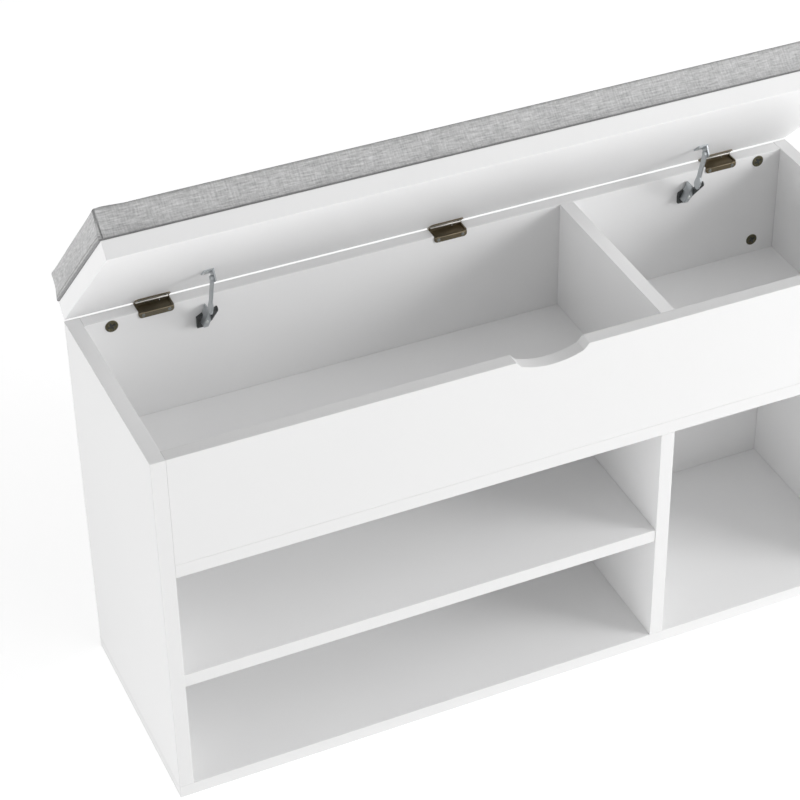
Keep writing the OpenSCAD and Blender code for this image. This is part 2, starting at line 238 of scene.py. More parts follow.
# %% Pebbled skin group
pebble, inside, out = new_group(
    "pebbled_skin", {"Place": "Vector", "Grain Size": "Float", "Depth": "Float"},
    {"Mask": "Float", "Normal": "Vector"})
per_metre = number(pebble, "DIVIDE", 1.0, inside["Grain Size"])
bumps = node(pebble, "TexNoise", None, Vector=inside["Place"], Scale=per_metre, Detail=3.0,
             Roughness=0.6)
patches = node(pebble, "TexNoise", None, Vector=inside["Place"], Scale=9.0, Detail=4.0)
relief = node(pebble, "Bump", None, Strength=1.0, Distance=inside["Depth"],
              Height=bumps.outputs["Fac"])
pebble.links.new(patches.outputs["Fac"], out.inputs["Mask"])
pebble.links.new(relief.outputs["Normal"], out.inputs["Normal"])
print("pebbled skin:", len(pebble.nodes), "nodes")

# %% Drawn grain group
grain, inside, out = new_group(
    "drawn_grain", {"Place": "Vector", "Stretch": "Vector", "Depth": "Float"},
    {"Mask": "Float", "Normal": "Vector"})
stretched = node(grain, "VectorMath", {"operation": "MULTIPLY"}, in_0=inside["Place"],
                 in_1=inside["Stretch"])
strokes = node(grain, "TexNoise", None, Vector=stretched.outputs[0], Scale=1.0, Detail=4.0,
               Roughness=0.65)
relief = node(grain, "Bump", None, Strength=1.0, Distance=inside["Depth"],
              Height=strokes.outputs["Fac"])
grain.links.new(strokes.outputs["Fac"], out.inputs["Mask"])
grain.links.new(relief.outputs["Normal"], out.inputs["Normal"])
print("drawn grain:", len(grain.nodes), "nodes")

# %% [markdown]
# ## White laminate
#
# The boards are chipboard with a white resin skin. It is nearly white, half dull, and has a faint
# orange-peel texture that shows only in its highlights. The narrow edges carry a plastic band
# glued on later, a touch smoother and greyer. The same grey is also laid as painted shade on the
# fascia's front and the sides' outer faces, which the lamps light too brightly, and it is left off
# the upward edges of the upright boards and the back panel as painted light where shade falls on
# them. The boards carry an attribute that says where.

# %% White laminate
# Most values of a group's mask lie between these two
MASK_LOW, MASK_HIGH = 0.3, 0.7

laminate, tree, shader, place = new_material("white_laminate", Specular_IOR_Level=0.42)
peel = use_group(tree, pebble, Place=place, Grain_Size=0.0016, Depth=0.00003)
# The band attribute: the edge band's real grey on narrow faces, and painted shade where the grey
# lies on wide faces
band_and_shade = node(tree, "Attribute", {"attribute_name": "band_and_painted_shade"}).outputs["Fac"]
cloudy = ramp(tree, peel["Mask"], MASK_LOW, MASK_HIGH)
face_white = blend_colour(tree, cloudy, (0.79, 0.79, 0.793, 1), (0.805, 0.805, 0.805, 1))
tree.links.new(blend_colour(tree, band_and_shade, face_white, (0.66, 0.66, 0.66, 1)),
               shader.inputs["Base Color"])
tree.links.new(ramp(tree, band_and_shade, 0, 1, 0.46, 0.36), shader.inputs["Roughness"])
tree.links.new(peel["Normal"], shader.inputs["Normal"])
print("white laminate:", len(tree.nodes), "nodes")

# %% [markdown]
# ## Bronze, steel, plastic and beech
#
# The hinges and cams are plated dark bronze: a metal whose colour shifts from brown to a dull
# olive. Two thin lines on the hinges, a near-white one and a tan one, are painted highlights. The
# stays' arms, covers and brackets are steel with drawn lines, their screws are zinc-plated and the
# hinges' screws are duller. The feet and the levers are black. The dowels are beech, hidden in the
# boards, but an exploded view shows them. All are one recipe, in which colour and roughness
# follow the mask of one group.

# %% One recipe for many finishes
def mottled(name, effect, settings, first, second, rough, spread=None, bumpy=True, **constants):
    """A material that follows the mask m of one group, whose inputs are in settings. Its colour
    is first * (1 - t) + second * t, with t = m, or t = (m - low) / (high - low) where spread is
    (low, high). Its roughness runs in a straight line through the two values of rough."""
    material, tree, shader, place = new_material(name, **constants)
    made = use_group(tree, effect, Place=place, **settings)
    share = ramp(tree, made["Mask"], *spread) if spread else made["Mask"]
    tree.links.new(blend_colour(tree, share, (*first, 1), (*second, 1)),
                   shader.inputs["Base Color"])
    tree.links.new(ramp(tree, made["Mask"], MASK_LOW, MASK_HIGH, *rough),
                   shader.inputs["Roughness"])
    if bumpy:
        tree.links.new(made["Normal"], shader.inputs["Normal"])
    return material

# %% Bronze and painted highlights
STRONG = (0.35, 0.65)
bronze = mottled("antique_bronze", pebble, {"Grain_Size": 0.0009, "Depth": 0.00004},
                 (0.145, 0.108, 0.058), (0.135, 0.12, 0.085), (0.26, 0.38), STRONG, Metallic=0.85)
dark_bronze = mottled("dark_bronze", pebble, {"Grain_Size": 0.0012, "Depth": 0.00005},
                      (0.13, 0.115, 0.065), (0.06, 0.055, 0.035), (0.34, 0.5), STRONG,
                      Metallic=0.85)
BEAD_SKIN = {"Grain_Size": 0.0007, "Depth": 0.00002}
# Near-white bead colour: a painted highlight along each leaf's bend
painted_leaf_highlight = mottled("leaf_highlight_paint", pebble, BEAD_SKIN, (0.9, 0.87, 0.8), (0.96, 0.94, 0.89), (0.4, 0.55),
                 bumpy=False, Metallic=0.15)
# Tan bead colour: a painted highlight along each tray's fold
fold_highlight_paint = mottled("fold_highlight_paint", pebble, BEAD_SKIN, (0.26, 0.2, 0.12), (0.38, 0.3, 0.19),
                     (0.4, 0.55), bumpy=False, Metallic=0.3)
print("bronze finishes:", bronze.name, dark_bronze.name, painted_leaf_highlight.name, fold_highlight_paint.name)

# %% Steel and zinc
steel = mottled("satin_steel", grain, {"Stretch": (900.0, 160.0, 160.0), "Depth": 0.00002},
                (0.36, 0.385, 0.4), (0.5, 0.53, 0.55), (0.3, 0.46), Metallic=0.9)
zinc = mottled("zinc_plate", grain, {"Stretch": (500.0, 500.0, 900.0), "Depth": 0.00001},
               (0.5, 0.52, 0.5), (0.66, 0.68, 0.68), (0.24, 0.36), Metallic=0.95)
dull_steel = mottled("dull_steel", pebble, {"Grain_Size": 0.0009, "Depth": 0.00002},
                     (0.13, 0.14, 0.13), (0.24, 0.25, 0.23), (0.4, 0.55), bumpy=False,
                     Metallic=0.8)
print("steel finishes:", steel.name, zinc.name, dull_steel.name)

# %% Plastic and wood
black = mottled("black_plastic", pebble, {"Grain_Size": 0.0006, "Depth": 0.00003},
                (0.012, 0.014, 0.014), (0.02, 0.023, 0.022), (0.42, 0.55),
                Specular_IOR_Level=0.45)
beech = mottled("beech", grain, {"Stretch": (900.0, 900.0, 60.0), "Depth": 0.00005},
                (0.5, 0.33, 0.17), (0.66, 0.48, 0.29), (0.55, 0.7))
print("other finishes:", black.name, beech.name)

# %% Put the finishes on the CAD pieces
BY_ENDING = {"_foot": black, "screws": zinc}
BY_START = {"hinge": bronze, "stay": steel, "cam_fittings": dark_bronze, "cam_bolts": zinc,
            "dowels": beech}


def finish_of(name):
    """The ending of a node's name gives its finish, or else its start. All others are boards."""
    fits = [finish for ending, finish in BY_ENDING.items() if name.endswith(ending)]
    fits += [finish for start, finish in BY_START.items() if name.startswith(start)]
    return (fits + [laminate])[0]


for name, piece in nodes.items():
    piece.data.materials.clear()
    piece.data.materials.append(finish_of(name))
print("finished", len(nodes), "CAD pieces")

# %% [markdown]
# ## One skin for many pieces
#
# A board, a bead and a screw head are all a stack of closed outlines, joined ring to ring and
# closed at both ends. If the rings are one array, the faces follow from counting alone. The sign
# of the enclosed volume says whether the faces point out, and they are turned round if not.

# %% Skin a stack of rings
def skin(rings):
    """Joins rings, an array of M outlines by N points by 3, with quads between neighbours and
    one many-sided face at each end. Point j of ring i has the number i * N + j."""
    m, n = rings.shape[:2]
    i, j = np.meshgrid(np.arange(m - 1), np.arange(n), indexing="ij")
    k = (j + 1) % n
    quads = np.stack([i * n + j, i * n + k, (i + 1) * n + k, (i + 1) * n + j], -1).reshape(-1, 4)
    points = rings.reshape(-1, 3)
    corners = points[quads]
    ends = points[:n], points[(m - 1) * n:]
    volume = sum(np.einsum("ij,ij->", corners[:, 0], np.cross(corners[:, a], corners[:, b]))
                 for a, b in ((1, 2), (2, 3)))
    for sign, end in zip((-1, 1), ends):
        volume += sign * np.einsum("ij,ij->", np.broadcast_to(end[0], end[1:-1].shape),
                                   np.cross(end[1:-1], end[2:]))
    faces = quads.tolist() + [list(range(n))[::-1], list(range((m - 1) * n, m * n))]
    return points, faces if volume > 0 else [face[::-1] for face in faces]


def values_of(items, key, kind, width=1):
    """One value of all items of a mesh as an array, with a row for each where width > 1."""
    flat = np.empty(len(items) * width, kind)
    items.foreach_get(key, flat)
    return flat.reshape(-1, width) if width > 1 else flat


def add_piece(name, points, faces, material, body, slot, replaces=(), smooth=False):
    """Makes a mesh object at the origin from points in metres, and hangs it on a CAD body."""
    mesh = bpy.data.meshes.new(name)
    mesh.from_pydata(points.tolist(), [], faces)
    mesh.materials.append(material)
    mesh.polygons.foreach_set("use_smooth", np.full(len(faces), smooth))
    piece = bpy.data.objects.new(name, mesh)
    scene.collection.objects.link(piece)
    if replaces:
        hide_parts(*replaces)
    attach(piece, body)
    return piece

# %% [markdown]
# ## Boards with eased edges
#
# A sawn board has its edges broken slightly, and on white furniture that thin rounding is what
# catches the light and draws the outline. The outline of each board is sampled together with
# its outward directions. A ring of the board is then the outline moved inwards by an amount that
# grows towards the two faces along a quarter circle.

# %% Outline with small rounded corners
def soft_outline(corners, radius, steps=4, sharp=None):
    """Samples a closed outline, given counterclockwise, with each sharp corner rounded.
    The arc's centre is corner -+ radius * (n_in + n_out) / (1 + n_in . n_out), where n are the
    outward directions of its two sides. Returns points and outward directions."""
    corners = np.asarray(corners, float)
    ahead = np.roll(corners, -1, 0) - corners
    ahead /= np.linalg.norm(ahead, axis=1, keepdims=True)
    behind = np.roll(ahead, 1, 0)
    n_in, n_out = (np.stack([d[:, 1], -d[:, 0]], 1) for d in (behind, ahead))
    side = np.sign(behind[:, 0] * ahead[:, 1] - behind[:, 1] * ahead[:, 0])[:, None]
    bend = 1 + np.einsum("ij,ij->i", n_in, n_out)[:, None]
    sharp = np.ones(len(corners), bool) if sharp is None else sharp
    share = np.linspace(0, 1, steps)[None, :, None]
    normal = n_in[:, None] * (1 - share) + n_out[:, None] * share
    normal /= np.linalg.norm(normal, axis=2, keepdims=True)
    middle = (corners - side * radius * (n_in + n_out) / bend)[:, None]
    point = middle + side[:, None] * radius * normal
    smooth_n = ((n_in + n_out) / np.linalg.norm(n_in + n_out, axis=1, keepdims=True))[:, None]
    point = np.where(sharp[:, None, None], point, corners[:, None])
    normal = np.where(sharp[:, None, None], normal, smooth_n)
    wanted = sharp[:, None] | (np.arange(steps) == 0)[None]
    return point[wanted], normal[wanted]

# %% Boards between two faces
EASED = 0.0005
NORMAL_UP = 0.9


def easing(steps=4):
    """How far in and how far along an eased edge lies: EASED * (1 - sin a) and EASED * (1 -
    cos a), with a from 0 to 90 degrees."""
    angle = np.linspace(0, math.pi / 2, steps)
    return EASED * (1 - np.sin(angle)), EASED * (1 - np.cos(angle))


def board_rings(point, normal, low, high, axis):
    """Rings of a board between two faces. Each ring is point - inset * normal, at the rise of an
    eased edge from the nearer face."""
    inset, rise = easing()
    inset = np.concatenate([inset, inset[::-1]])
    level = np.concatenate([low + rise, high - rise[::-1]])
    flat = point[None] - inset[:, None, None] * normal[None]
    level = np.broadcast_to(level[:, None], flat.shape[:2])
    order = {"x": (level, flat[..., 0], flat[..., 1]), "y": (flat[..., 0], level, flat[..., 1]),
             "z": (flat[..., 0], flat[..., 1], level)}[axis]
    return np.stack(order, -1)


def mark_band_and_shade(piece, wide, upward):
    """Attribute band_and_painted_shade: the share of a grey that is partly the real edge band and
    partly painted shade. It is 1 on the faces between the rings, wide on the two wide end faces,
    and upward on the narrow faces that point up, where the normal's z is above NORMAL_UP."""
    data = piece.data.attributes.new("band_and_painted_shade", "FLOAT", "FACE").data
    normal = values_of(piece.data.polygon_normals, "vector", np.float32, 3)
    narrow = np.where(normal[:-2, 2] > NORMAL_UP, upward, 1)
    data.foreach_set("value", np.r_[narrow, wide].astype(np.float32))


def add_board(name, axis, corners=None, sharp=None, wide=(0, 0), upward=1):
    """A board of the carcass in the place of its CAD node. Its outline is the node's box unless
    corners say otherwise, and axis is the direction that it is thin along."""
    low, high = (np.array(v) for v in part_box(name))
    a, b = {"x": (1, 2), "y": (0, 2), "z": (0, 1)}[axis]
    if corners is None:
        corners = [(low[a], low[b]), (high[a], low[b]), (high[a], high[b]), (low[a], high[b])]
    w = "xyz".index(axis)
    rings = board_rings(*soft_outline(corners, EASED, sharp=sharp), low[w], high[w], axis)
    points, faces = skin(rings)
    piece = add_piece("board_" + name, points, faces, laminate, "carcass", "white_board", [name])
    mark_band_and_shade(piece, wide, upward)

# %% Plain boards
# Each board's thin direction, and the share of the grey on its low and its high face; on the
# sides' outer faces that grey is painted shade
BOARDS = {"bottom_board": ("z", (0, 0)), "left_side": ("x", (0.6, 0)),
          "right_side": ("x", (0, 1)), "chest_floor": ("z", (0, 0)), "partition": ("x", (0, 0)),
          "shelf": ("z", (0, 0)), "chest_divider": ("x", (0, 0))}
# Upright boards get no grey on their upward edges: painted light where those edges fall in shade
for name, (axis, wide) in BOARDS.items():
    add_board(name, axis, wide=wide, upward=0 if axis == "x" else 1)
print("plain boards:", len(BOARDS))

# %% [markdown]
# ## The fascia and the back panel
#
# Two boards aren't plain rectangles. The fascia's upper edge dips into a shallow hold for the
# fingers: two sloping shoulders and a wide arc. The back panel's upper edge has three pockets,
# each as deep as a hinge tray is high. Both are the same skin over another outline.

# %% Fascia and back panel
NOTCH_HALF, NOTCH_DEEP = 0.0385, 0.0126
SHOULDER, SHOULDER_DEEP = 0.0055, 0.0062
ARC_STEPS = 33
POCKET_DEEP = 0.003

low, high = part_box("fascia")
sag = NOTCH_DEEP - SHOULDER_DEEP
arc_half = NOTCH_HALF - SHOULDER
arc_r = (arc_half ** 2 + sag ** 2) / (2 * sag)
x = np.linspace(arc_half, -arc_half, ARC_STEPS)
arc = np.stack([x, high.z - NOTCH_DEEP + arc_r - np.sqrt(arc_r ** 2 - x ** 2)], 1)
corners = np.vstack([[(low.x, low.z), (high.x, low.z), (high.x, high.z), (NOTCH_HALF, high.z)],
                     arc, [(-NOTCH_HALF, high.z), (low.x, high.z)]])
sharp = np.r_[np.ones(4, bool), np.zeros(ARC_STEPS, bool), np.ones(2, bool)]
# The fascia's front face takes the full grey: painted shade
add_board("fascia", "y", corners=corners, sharp=sharp, wide=(1, 0))

low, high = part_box("back_panel")
pocket_floor = high.z - POCKET_DEEP
trays = [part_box(f"hinge_{i}_tray") for i in (3, 2, 1)]
dips = [(x, z) for tray in trays for x, z in (
    (tray[1].x, high.z), (tray[1].x, pocket_floor), (tray[0].x, pocket_floor),
    (tray[0].x, high.z))]
corners = [(low.x, low.z), (high.x, low.z), (high.x, high.z), *dips, (low.x, high.z)]
# The back panel's upward edges get no grey: painted light where the lid shades them
add_board("back_panel", "y", corners=corners, upward=0)
print("fascia and back panel made")

# %% [markdown]
# ## The lid board
#
# The lid is drawn shut, where its edges run along the axes, and then swung open. Its section is
# carried along the bench. At each hinge the lower rear corner changes from a small rounding to a
# hollow for the hinge's knuckle, so two rings share a place and make the hollow's flat end.

# %% Swing
HINGE = np.array(frame["joints"][0]["pos_m"])
OPEN = math.radians(45)


def swing_open(points):
    """Turns points from the shut lid's own axes, with the origin on the hinge line, to the open
    place: y' = y cos a + z sin a, z' = z cos a - y sin a, then the hinge line is added."""
    x, y, z = np.moveaxis(np.asarray(points, float), -1, 0)
    c, s = math.cos(OPEN), math.sin(OPEN)
    return np.stack([x, y * c + z * s, z * c - y * s], -1) + HINGE


print("hinge line:", HINGE.round(4).tolist())

# %% Lid board
LID_DEEP, LID_THICK, HALF_LONG = 0.242, 0.018, 0.4
# The hinges' middles, half the length of each hollow and its radius
HINGE_X, HOLLOW_HALF, HOLLOW = (-0.3125, 0.0, 0.3125), 0.0185, 0.003

section = soft_outline([(-LID_DEEP, 0), (0, 0), (0, LID_THICK), (-LID_DEEP, LID_THICK)], EASED)
hollow_points, hollow_normals = section[0].copy(), section[1].copy()
angle = np.linspace(math.pi, math.pi / 2, 4)
arc = np.stack([np.cos(angle), np.sin(angle)], 1)
# Points 4 to 7 of the section are its lower rear corner
hollow_points[4:8], hollow_normals[4:8] = HOLLOW * arc, -arc
end_inset, end_rise = easing()
gaps = np.add.outer(HINGE_X, np.array([-1, -1, 1, 1]) * HOLLOW_HALF).ravel()
stations = np.r_[-HALF_LONG + end_rise, gaps, (HALF_LONG - end_rise)[::-1]]
insets = np.r_[end_inset, np.zeros(len(gaps)), end_inset[::-1]]
hollow = np.r_[np.zeros(4), np.tile([0, 1, 1, 0], len(HINGE_X)), np.zeros(4)][:, None, None]
flat = (section[0] - insets[:, None, None] * section[1]) * (1 - hollow) + hollow_points * hollow
along_x = np.broadcast_to(stations[:, None, None], flat.shape[:2] + (1,))
points, faces = skin(np.concatenate([along_x, flat], -1))
add_piece("board_lid", swing_open(points), faces, laminate, "lid", "white_board", ["lid_board"])
print("lid board made:", len(faces), "faces")

# %% [markdown]
# ## Screw heads and cams
#
# Every head here is turned: an outline is carried round an axis. The cross recess is then pressed
# into the outer face. For a point at the place (u, v) on the face, the distance to the nearer of
# the two slots' middles is min(|u|, |v|), and the other of the two says how far out along that
# slot it lies. Where both are inside the slot, the face sinks by the depth of the recess.

# %% Turned heads with a cross recess
def crossed(profile, face_r, face_rise, cross, round_steps, face_steps):
    """Rings of a turned piece along +z whose outer face has a cross recess. profile is a list of
    (radius, z) from the far end to the face's rim, face_rise the face's doming and cross the
    (length, width, depth) of the recess. The face's height is
    z(r) = rim + face_rise * (1 - (r / face_r) ** 2) - depth * inside_slot(u, v)."""
    turn = np.linspace(0, 2 * math.pi, round_steps, endpoint=False)
    radius = np.linspace(face_r, face_r * 0.02, face_steps)
    u, v = radius[:, None] * np.cos(turn), radius[:, None] * np.sin(turn)
    near, far = np.minimum(abs(u), abs(v)), np.maximum(abs(u), abs(v))
    length, width, depth = cross
    # The slots' walls lean over this width
    edge = width * 0.35
    inside_slot = (np.clip((width / 2 - near) / edge + 0.5, 0, 1)
                   * np.clip((length / 2 - far) / edge + 0.5, 0, 1))
    z = profile[-1][1] + face_rise * (1 - (radius[:, None] / face_r) ** 2) - depth * inside_slot
    stem = np.array([[(r * math.cos(a), r * math.sin(a), h) for a in turn] for r, h in profile])
    return np.concatenate([stem, np.stack([u, v, z], -1)])

# %% Many stacks in one mesh
def join(stacks):
    """One mesh from several stacks of rings."""
    points, faces, count = [], [], 0
    for rings in stacks:
        own, own_faces = skin(rings)
        points.append(own)
        faces += [[k + count for k in face] for face in own_faces]
        count += len(own)
    return np.concatenate(points), faces


def copies(rings, spots):
    """One mesh from copies of the same rings. A spot is a place and two directions: the piece's
    own x and its axis, so that p' = place + x * first + y * (axis x first) + z * axis."""
    moved = []
    for place, first, axis in spots:
        first, axis = (np.array(d, float) / np.linalg.norm(d) for d in (first, axis))
        moved.append(rings @ np.stack([first, np.cross(axis, first), axis]) + place)
    return join(moved)

# %% Cams
CAM_X, CAM_Z = 0.358, (0.310, 0.4085)
CAM_SPOTS = [(side * CAM_X, z) for side in (-1, 1) for z in CAM_Z]
inner_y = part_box("back_panel")[0].y
cam = crossed([(0.0065, -0.011), (0.0065, 0.0004), (0.0061, 0.0008)], face_r=0.0059,
              face_rise=0.0, cross=(0.0086, 0.0017, 0.00075), round_steps=72, face_steps=34)
add_piece("cam_faces", *copies(cam, [((x, inner_y, z), (1, 0, 1), (0, -1, 0))
                                     for x, z in CAM_SPOTS]),
          dark_bronze, "carcass", "cam_bronze", ["cam_fittings"])
print("cams:", len(CAM_SPOTS))

# %% Screws
STAY_X = (-0.2675, 0.2675)
# How far each leaf's two screws are from its middle, and the thickness of the pressed sheets
SCREW_APART, TRAY_SHEET, BRACKET_SHEET = 0.0133, 0.0012, 0.0015
small_screw = crossed([(0.00125, -0.009), (0.00125, 0.0), (0.0017, 0.0), (0.0017, 0.0003),
                       (0.0014, 0.00055)], face_r=0.0013, face_rise=0.0001,
                      cross=(0.002, 0.0006, 0.0004), round_steps=28, face_steps=12)
ahead, down = (0, -1, 0), swing_open([0, 0, -1]) - HINGE
panel_spots = [((x + s * SCREW_APART, inner_y - TRAY_SHEET, 0.4125), (1, 0, 0.4 * s), ahead)
               for x in HINGE_X for s in (-1, 1)]
foot_spots = [(place, (1, 0, 0.7), ahead) for x in STAY_X for place in (
    (x + 0.0012, inner_y - 0.0129, 0.3945), (x + 0.0075, inner_y - 0.003, 0.3925))]
leaf_spots = [(swing_open([x + s * SCREW_APART, -0.008, -TRAY_SHEET]), (1, 0, 0), down)
              for x in HINGE_X for s in (-1, 1)]
bracket_spots = [(swing_open([x - 0.0045, -0.071 + s * 0.004, -BRACKET_SHEET]), (1, 0, 0), down)
                 for x in STAY_X for s in (-1, 1)]
for name, spots, body, metal in (("hinge_screws", panel_spots, "carcass", dull_steel),
                                 ("stay_screws", foot_spots, "carcass", zinc),
                                 ("lid_leaf_screws", leaf_spots, "lid", dull_steel),
                                 ("bracket_screws", bracket_spots, "lid", zinc)):
    add_piece("crossed_" + name, *copies(small_screw, spots), metal, body, "screw_steel", [name])
    print(name, "made:", len(spots))

# %% [markdown]
# ## Painted highlights on the hinges
#
# A thin line of light runs where each leaf bends into its knuckle, and a duller one along the fold
# of each tray. A mask in the metal could paint them, but the solids don't say where they are
# folded, so a thin near-white bead lies along each bend and a tan one along each fold, as painted
# highlights. Each tray also has a small lip under the middle knuckle, which closes the slit behind
# it.

# %% Beads and lips
def bead(x, half_long, y, z, half_wide, half_high, steps=12):
    """Rings of a thin bead along X, whose section is (y + half_wide * cos t, z + half_high *
    sin t) at each end."""
    turn = np.linspace(0, 2 * math.pi, steps, endpoint=False)
    ring = np.stack([np.zeros(steps), y + half_wide * np.cos(turn), z + half_high * np.sin(turn)],
                    1)
    return ring + np.array([x - half_long, x + half_long])[:, None, None] * np.array([1.0, 0, 0])


def block_along(outline, low, high):
    """Rings of a plain block: an outline in X and Z carried along Y from low to high."""
    outline = np.asarray(outline, float)
    return np.stack([np.stack([outline[:, 0], np.full(len(outline), y), outline[:, 1]], 1)
                     for y in (low, high)])


# Half a lip's length, its height from and to, and its depth from and to
LIP_HALF, LIP_Z, LIP_Y = 0.008, (0.4142, 0.4162), (0.1203, 0.1208)
# Near-white beads along the leaves' bends: painted highlights
points, faces = join(bead(x, half_long=0.0165, y=-0.0036, z=-0.0016, half_wide=0.0008,
                          half_high=0.0006) for x in HINGE_X)
add_piece("leaf_highlight_beads", swing_open(points), faces, painted_leaf_highlight, "lid", "hinge_bronze", smooth=True)
# Tan beads along the trays' folds: painted highlights
folds = [bead(x, half_long=0.0176, y=inner_y - 0.0011, z=0.4151, half_wide=0.0003,
              half_high=0.0003) for x in HINGE_X]
add_piece("fold_highlight_beads", *join(folds), fold_highlight_paint, "carcass", "hinge_bronze", smooth=True)
lips = [block_along([(x - LIP_HALF, LIP_Z[0]), (x + LIP_HALF, LIP_Z[0]), (x + LIP_HALF, LIP_Z[1]),
                     (x - LIP_HALF, LIP_Z[1])], *LIP_Y) for x in HINGE_X]
add_piece("tray_lips", *join(lips), bronze, "carcass", "hinge_bronze")
print("beads:", len(HINGE_X) + len(folds), "lips:", len(lips))

# %% [markdown]
# ## Painted shade in the cams' crosses
#
# The driver's cross goes deep into a cam, and in the shade of the chest it reads as black. The
# face's own recess is shallow, so a thin black cross is laid just in front of it as painted shade.
# Its outline has three points for each arm: two at the arm's end and one in the corner before the
# next arm.

# %% Cam recesses
# How far an arm reaches, how near to the middle a corner is, and in degrees half the angle of an
# arm's end and the turn of the whole cross
ARM_REACH, ARM_ROOT, ARM_ANGLE, CROSS_TURN = 0.0041, 0.0011, 11, 20
corner = np.add.outer(90 * np.arange(4), [ARM_ANGLE, 45, 90 - ARM_ANGLE]).ravel()
turn = np.radians(CROSS_TURN + corner)
reach = np.tile([ARM_REACH, ARM_ROOT, ARM_REACH], 4)
star = np.stack([reach * np.cos(turn), reach * np.sin(turn)], 1)
# A black cross just in front of each cam's face: painted shade of its deep recess
cross_shades = [block_along(star + spot, inner_y - 0.0009, inner_y - 0.0001) for spot in CAM_SPOTS]
add_piece("cam_cross_shade", *join(cross_shades), black, "carcass", "cam_bronze")
print("cam recesses:", len(cross_shades))

# %% [markdown]
# ## The stays' feet
#
# Each stay stands on a black moulded foot, a low block with a raised core. A leaning steel cover
# hides its lever: a left wall and a front, which are folded from one strip. Each of these is an
# outline in X and Z carried along Y, because the photograph shows little more than their outlines.

# %% Feet and covers
# Outlines in millimetres, from the stay's middle and the foot's underside. A cover's line is the
# left edge of its wall, from the lower end to the upper
FOOT_LOW = 0.388
FOOT_BASE = [(-5.8, -5.4), (2.5, -5.4), (9.5, 1), (9.5, 8), (4, 12), (-5.8, 6.5)]
COVER_LINES = (((-2.3, 0.8), (3.4, 20)), ((-4.2, 0.8), (4.6, 19)))
FRONT_X = 5.3
feet, covers = [], []
for x, ((low_x, low_z), (top_x, top_z)) in zip(STAY_X, COVER_LINES):
    core = [(low_x + 1, low_z), (top_x + 0.8, top_z - 1), (FRONT_X, top_z - 2), (FRONT_X, 6),
            (low_x + 5, low_z)]
    wall = [(low_x, low_z), (top_x, top_z), (top_x + 0.7, top_z), (low_x + 0.8, low_z)]
    web = [(low_x, low_z), (top_x, top_z), (FRONT_X, top_z - 1), (FRONT_X, 8),
           (low_x + 4.6, low_z)]
    for group, shape, deep, shallow in ((feet, FOOT_BASE, 0.003, 0), (feet, core, 0.012, 0.0001),
                                        (covers, wall, 0.0128, 0.001),
                                        (covers, web, 0.0129, 0.0121)):
        group.append(block_along(np.array(shape) / 1000 + (x, FOOT_LOW), inner_y - deep,
                                 inner_y - shallow))
add_piece("moulded_feet", *join(feet), black, "carcass", "foot_plastic",
          ["stay_left_foot", "stay_right_foot"])
add_piece("folded_covers", *join(covers), steel, "carcass", "stay_steel",
          ["stay_left_cover", "stay_right_cover"])
print("blocks in the feet:", len(feet), "and in the covers:", len(covers))

# %% [markdown]
# ## The stays' flat steel
#
# The lever and the arm are thin flat links, and pivots lie over their ends. Their outlines are two
# arcs joined by straight sides, in the plane of Y and Z, and each is carried along X by its
# thickness. Both keep the pivots of their CAD nodes, so they turn about the same places.

# %% Lever and arm
def arc_points(middle, radius, start, end, steps=9):
    """Points middle + radius * (cos a, sin a) in the YZ plane, with a between two angles in
    degrees."""
    angle = np.radians(np.linspace(start, end, steps))
    return np.array(middle) + radius * np.stack([np.cos(angle), np.sin(angle)], 1)


def flat_link(outline, x, span, ease=0.00025):
    """Rings of a flat link from x + span[0] to x + span[1]. Its two faces are the outline scaled
    about its middle by 1 - ease / (its farthest point's distance), which makes a fine chamfer."""
    x_low, x_high = x + span[0], x + span[1]
    middle = outline.mean(0)
    shrink = 1 - ease / np.linalg.norm(outline - middle, axis=1).max()
    rings = [(x_low, shrink), (x_low + ease, 1), (x_high - ease, 1), (x_high, shrink)]
    return np.stack([np.column_stack([np.full(len(outline), x), middle + (outline - middle) * k])
                     for x, k in rings])


# The places of the pivots at rest in Y and Z: arm with lever, arm with lid, and lever with foot
TIP, TOP = np.array([0.078, 0.419]), np.array([0.0659386, 0.4630477])
TURN_AT = np.array([0.0995, 0.395])
# Half the width of the arm's straight part, and the radii of the round ends
ARM_HALF, ARM_TOP_R, ARM_EYE_R, LEVER_FOOT_R, LEVER_TIP_R, STUB_R = (
    0.0028, 0.003, 0.0046, 0.0034, 0.0028, 0.0021)
# From where to where each lies along X, from the stay's middle
ARM_X, LEVER_X, STUB_X = (-0.001, 0.001), (0.0056, 0.0071), (0.0012, 0.0074)

along = (TOP - TIP) / np.linalg.norm(TOP - TIP)
across = np.array([-along[1], along[0]])
rise = math.degrees(math.atan2(along[1], along[0]))
fall = math.degrees(math.atan2(*(TURN_AT - TIP)[::-1]))
arm = np.vstack([arc_points(TOP, ARM_TOP_R, rise - 90, rise + 90),
                 TIP + along * 0.0135 + across * ARM_HALF, TIP + along * 0.0095 + across * 0.0056,
                 arc_points(TIP, ARM_EYE_R, rise + 100, rise + 270),
                 TIP + along * 0.0115 - across * ARM_HALF])
lever = np.vstack([arc_points(TURN_AT, LEVER_FOOT_R, fall - 90, fall + 90),
                   arc_points(TIP, LEVER_TIP_R, fall + 90, fall + 270)])
for side, x in zip(("left", "right"), STAY_X):
    add_piece(side + "_flat_arm", *skin(flat_link(arm, x, ARM_X)), steel, side + "_arm",
              "stay_steel", [f"stay_{side}_arm"])
    stub = flat_link(arc_points(TIP, STUB_R, 0, 345, 24), x, STUB_X)
    add_piece(side + "_flat_lever", *join([flat_link(lever, x, LEVER_X), stub]), black,
              side + "_lever", "foot_plastic", [f"stay_{side}_lever"])
print("arm length:", round(float(np.linalg.norm(TOP - TIP)), 4), "m")

